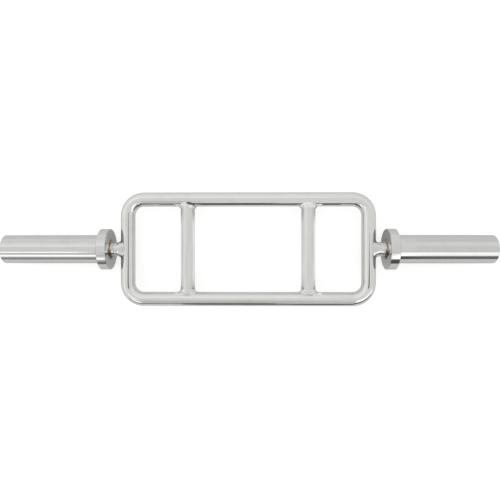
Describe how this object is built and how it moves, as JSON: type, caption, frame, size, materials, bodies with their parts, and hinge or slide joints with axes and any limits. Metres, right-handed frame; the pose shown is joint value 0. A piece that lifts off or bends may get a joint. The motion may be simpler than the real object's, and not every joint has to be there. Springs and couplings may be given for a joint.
{
  "type": "triceps bar",
  "caption": "Chrome triceps bar: a flat round-bar frame with parallel handles inside it and a revolving sleeve for weight plates at each end.",
  "frame": {"origin": "centre of the frame, on the axis of the sleeves; the centre of the bounding box", "axes": "+X along the bar, +Y across the flat frame, +Z through the frame's thickness; the bar lies flat on its collars"},
  "size_m": [0.86, 0.201, 0.0718],
  "materials": {
    "frame_chrome": "polished chrome plate on bent round bar",
    "handle_chrome": "chrome plate, slightly duller from fine drawn lines",
    "weld_chrome": "rippled weld beads, plated with the frame",
    "spindle_chrome": "polished chrome plate",
    "sleeve_chrome": "polished chrome plate on turned tube",
    "collar_chrome": "turned faces, plated, with fine lathe rings",
    "zinc_plate": "zinc plated",
    "bronze": "dull brown sintered bronze, oiled"
  },
  "bodies": {
    "frame": {"frame_loop": "frame_chrome", "left_handle": "handle_chrome", "right_handle": "handle_chrome", "left_handle_upper_weld": "weld_chrome", "left_handle_lower_weld": "weld_chrome", "right_handle_upper_weld": "weld_chrome", "right_handle_lower_weld": "weld_chrome", "left_spindle": "spindle_chrome", "right_spindle": "spindle_chrome", "left_spindle_weld": "weld_chrome", "right_spindle_weld": "weld_chrome", "left_thrust_washer": "zinc_plate", "right_thrust_washer": "zinc_plate", "left_end_washer": "zinc_plate", "right_end_washer": "zinc_plate", "left_lock_washer": "zinc_plate", "right_lock_washer": "zinc_plate", "left_end_bolt": "zinc_plate", "right_end_bolt": "zinc_plate"},
    "left_sleeve": {"left_sleeve_tube": "sleeve_chrome", "left_collar": "collar_chrome", "left_inner_bush": "bronze", "left_outer_bush": "bronze"},
    "right_sleeve": {"right_sleeve_tube": "sleeve_chrome", "right_collar": "collar_chrome", "right_inner_bush": "bronze", "right_outer_bush": "bronze"}
  },
  "joints": [
    {"name": "left_sleeve_spin", "type": "hinge", "parent": "frame", "child": "left_sleeve", "pos_m": [-0.2428, 0, 0], "axis": [1, 0, 0], "continuous": true},
    {"name": "right_sleeve_spin", "type": "hinge", "parent": "frame", "child": "right_sleeve", "pos_m": [0.2428, 0, 0], "axis": [1, 0, 0], "continuous": true}
  ]
}
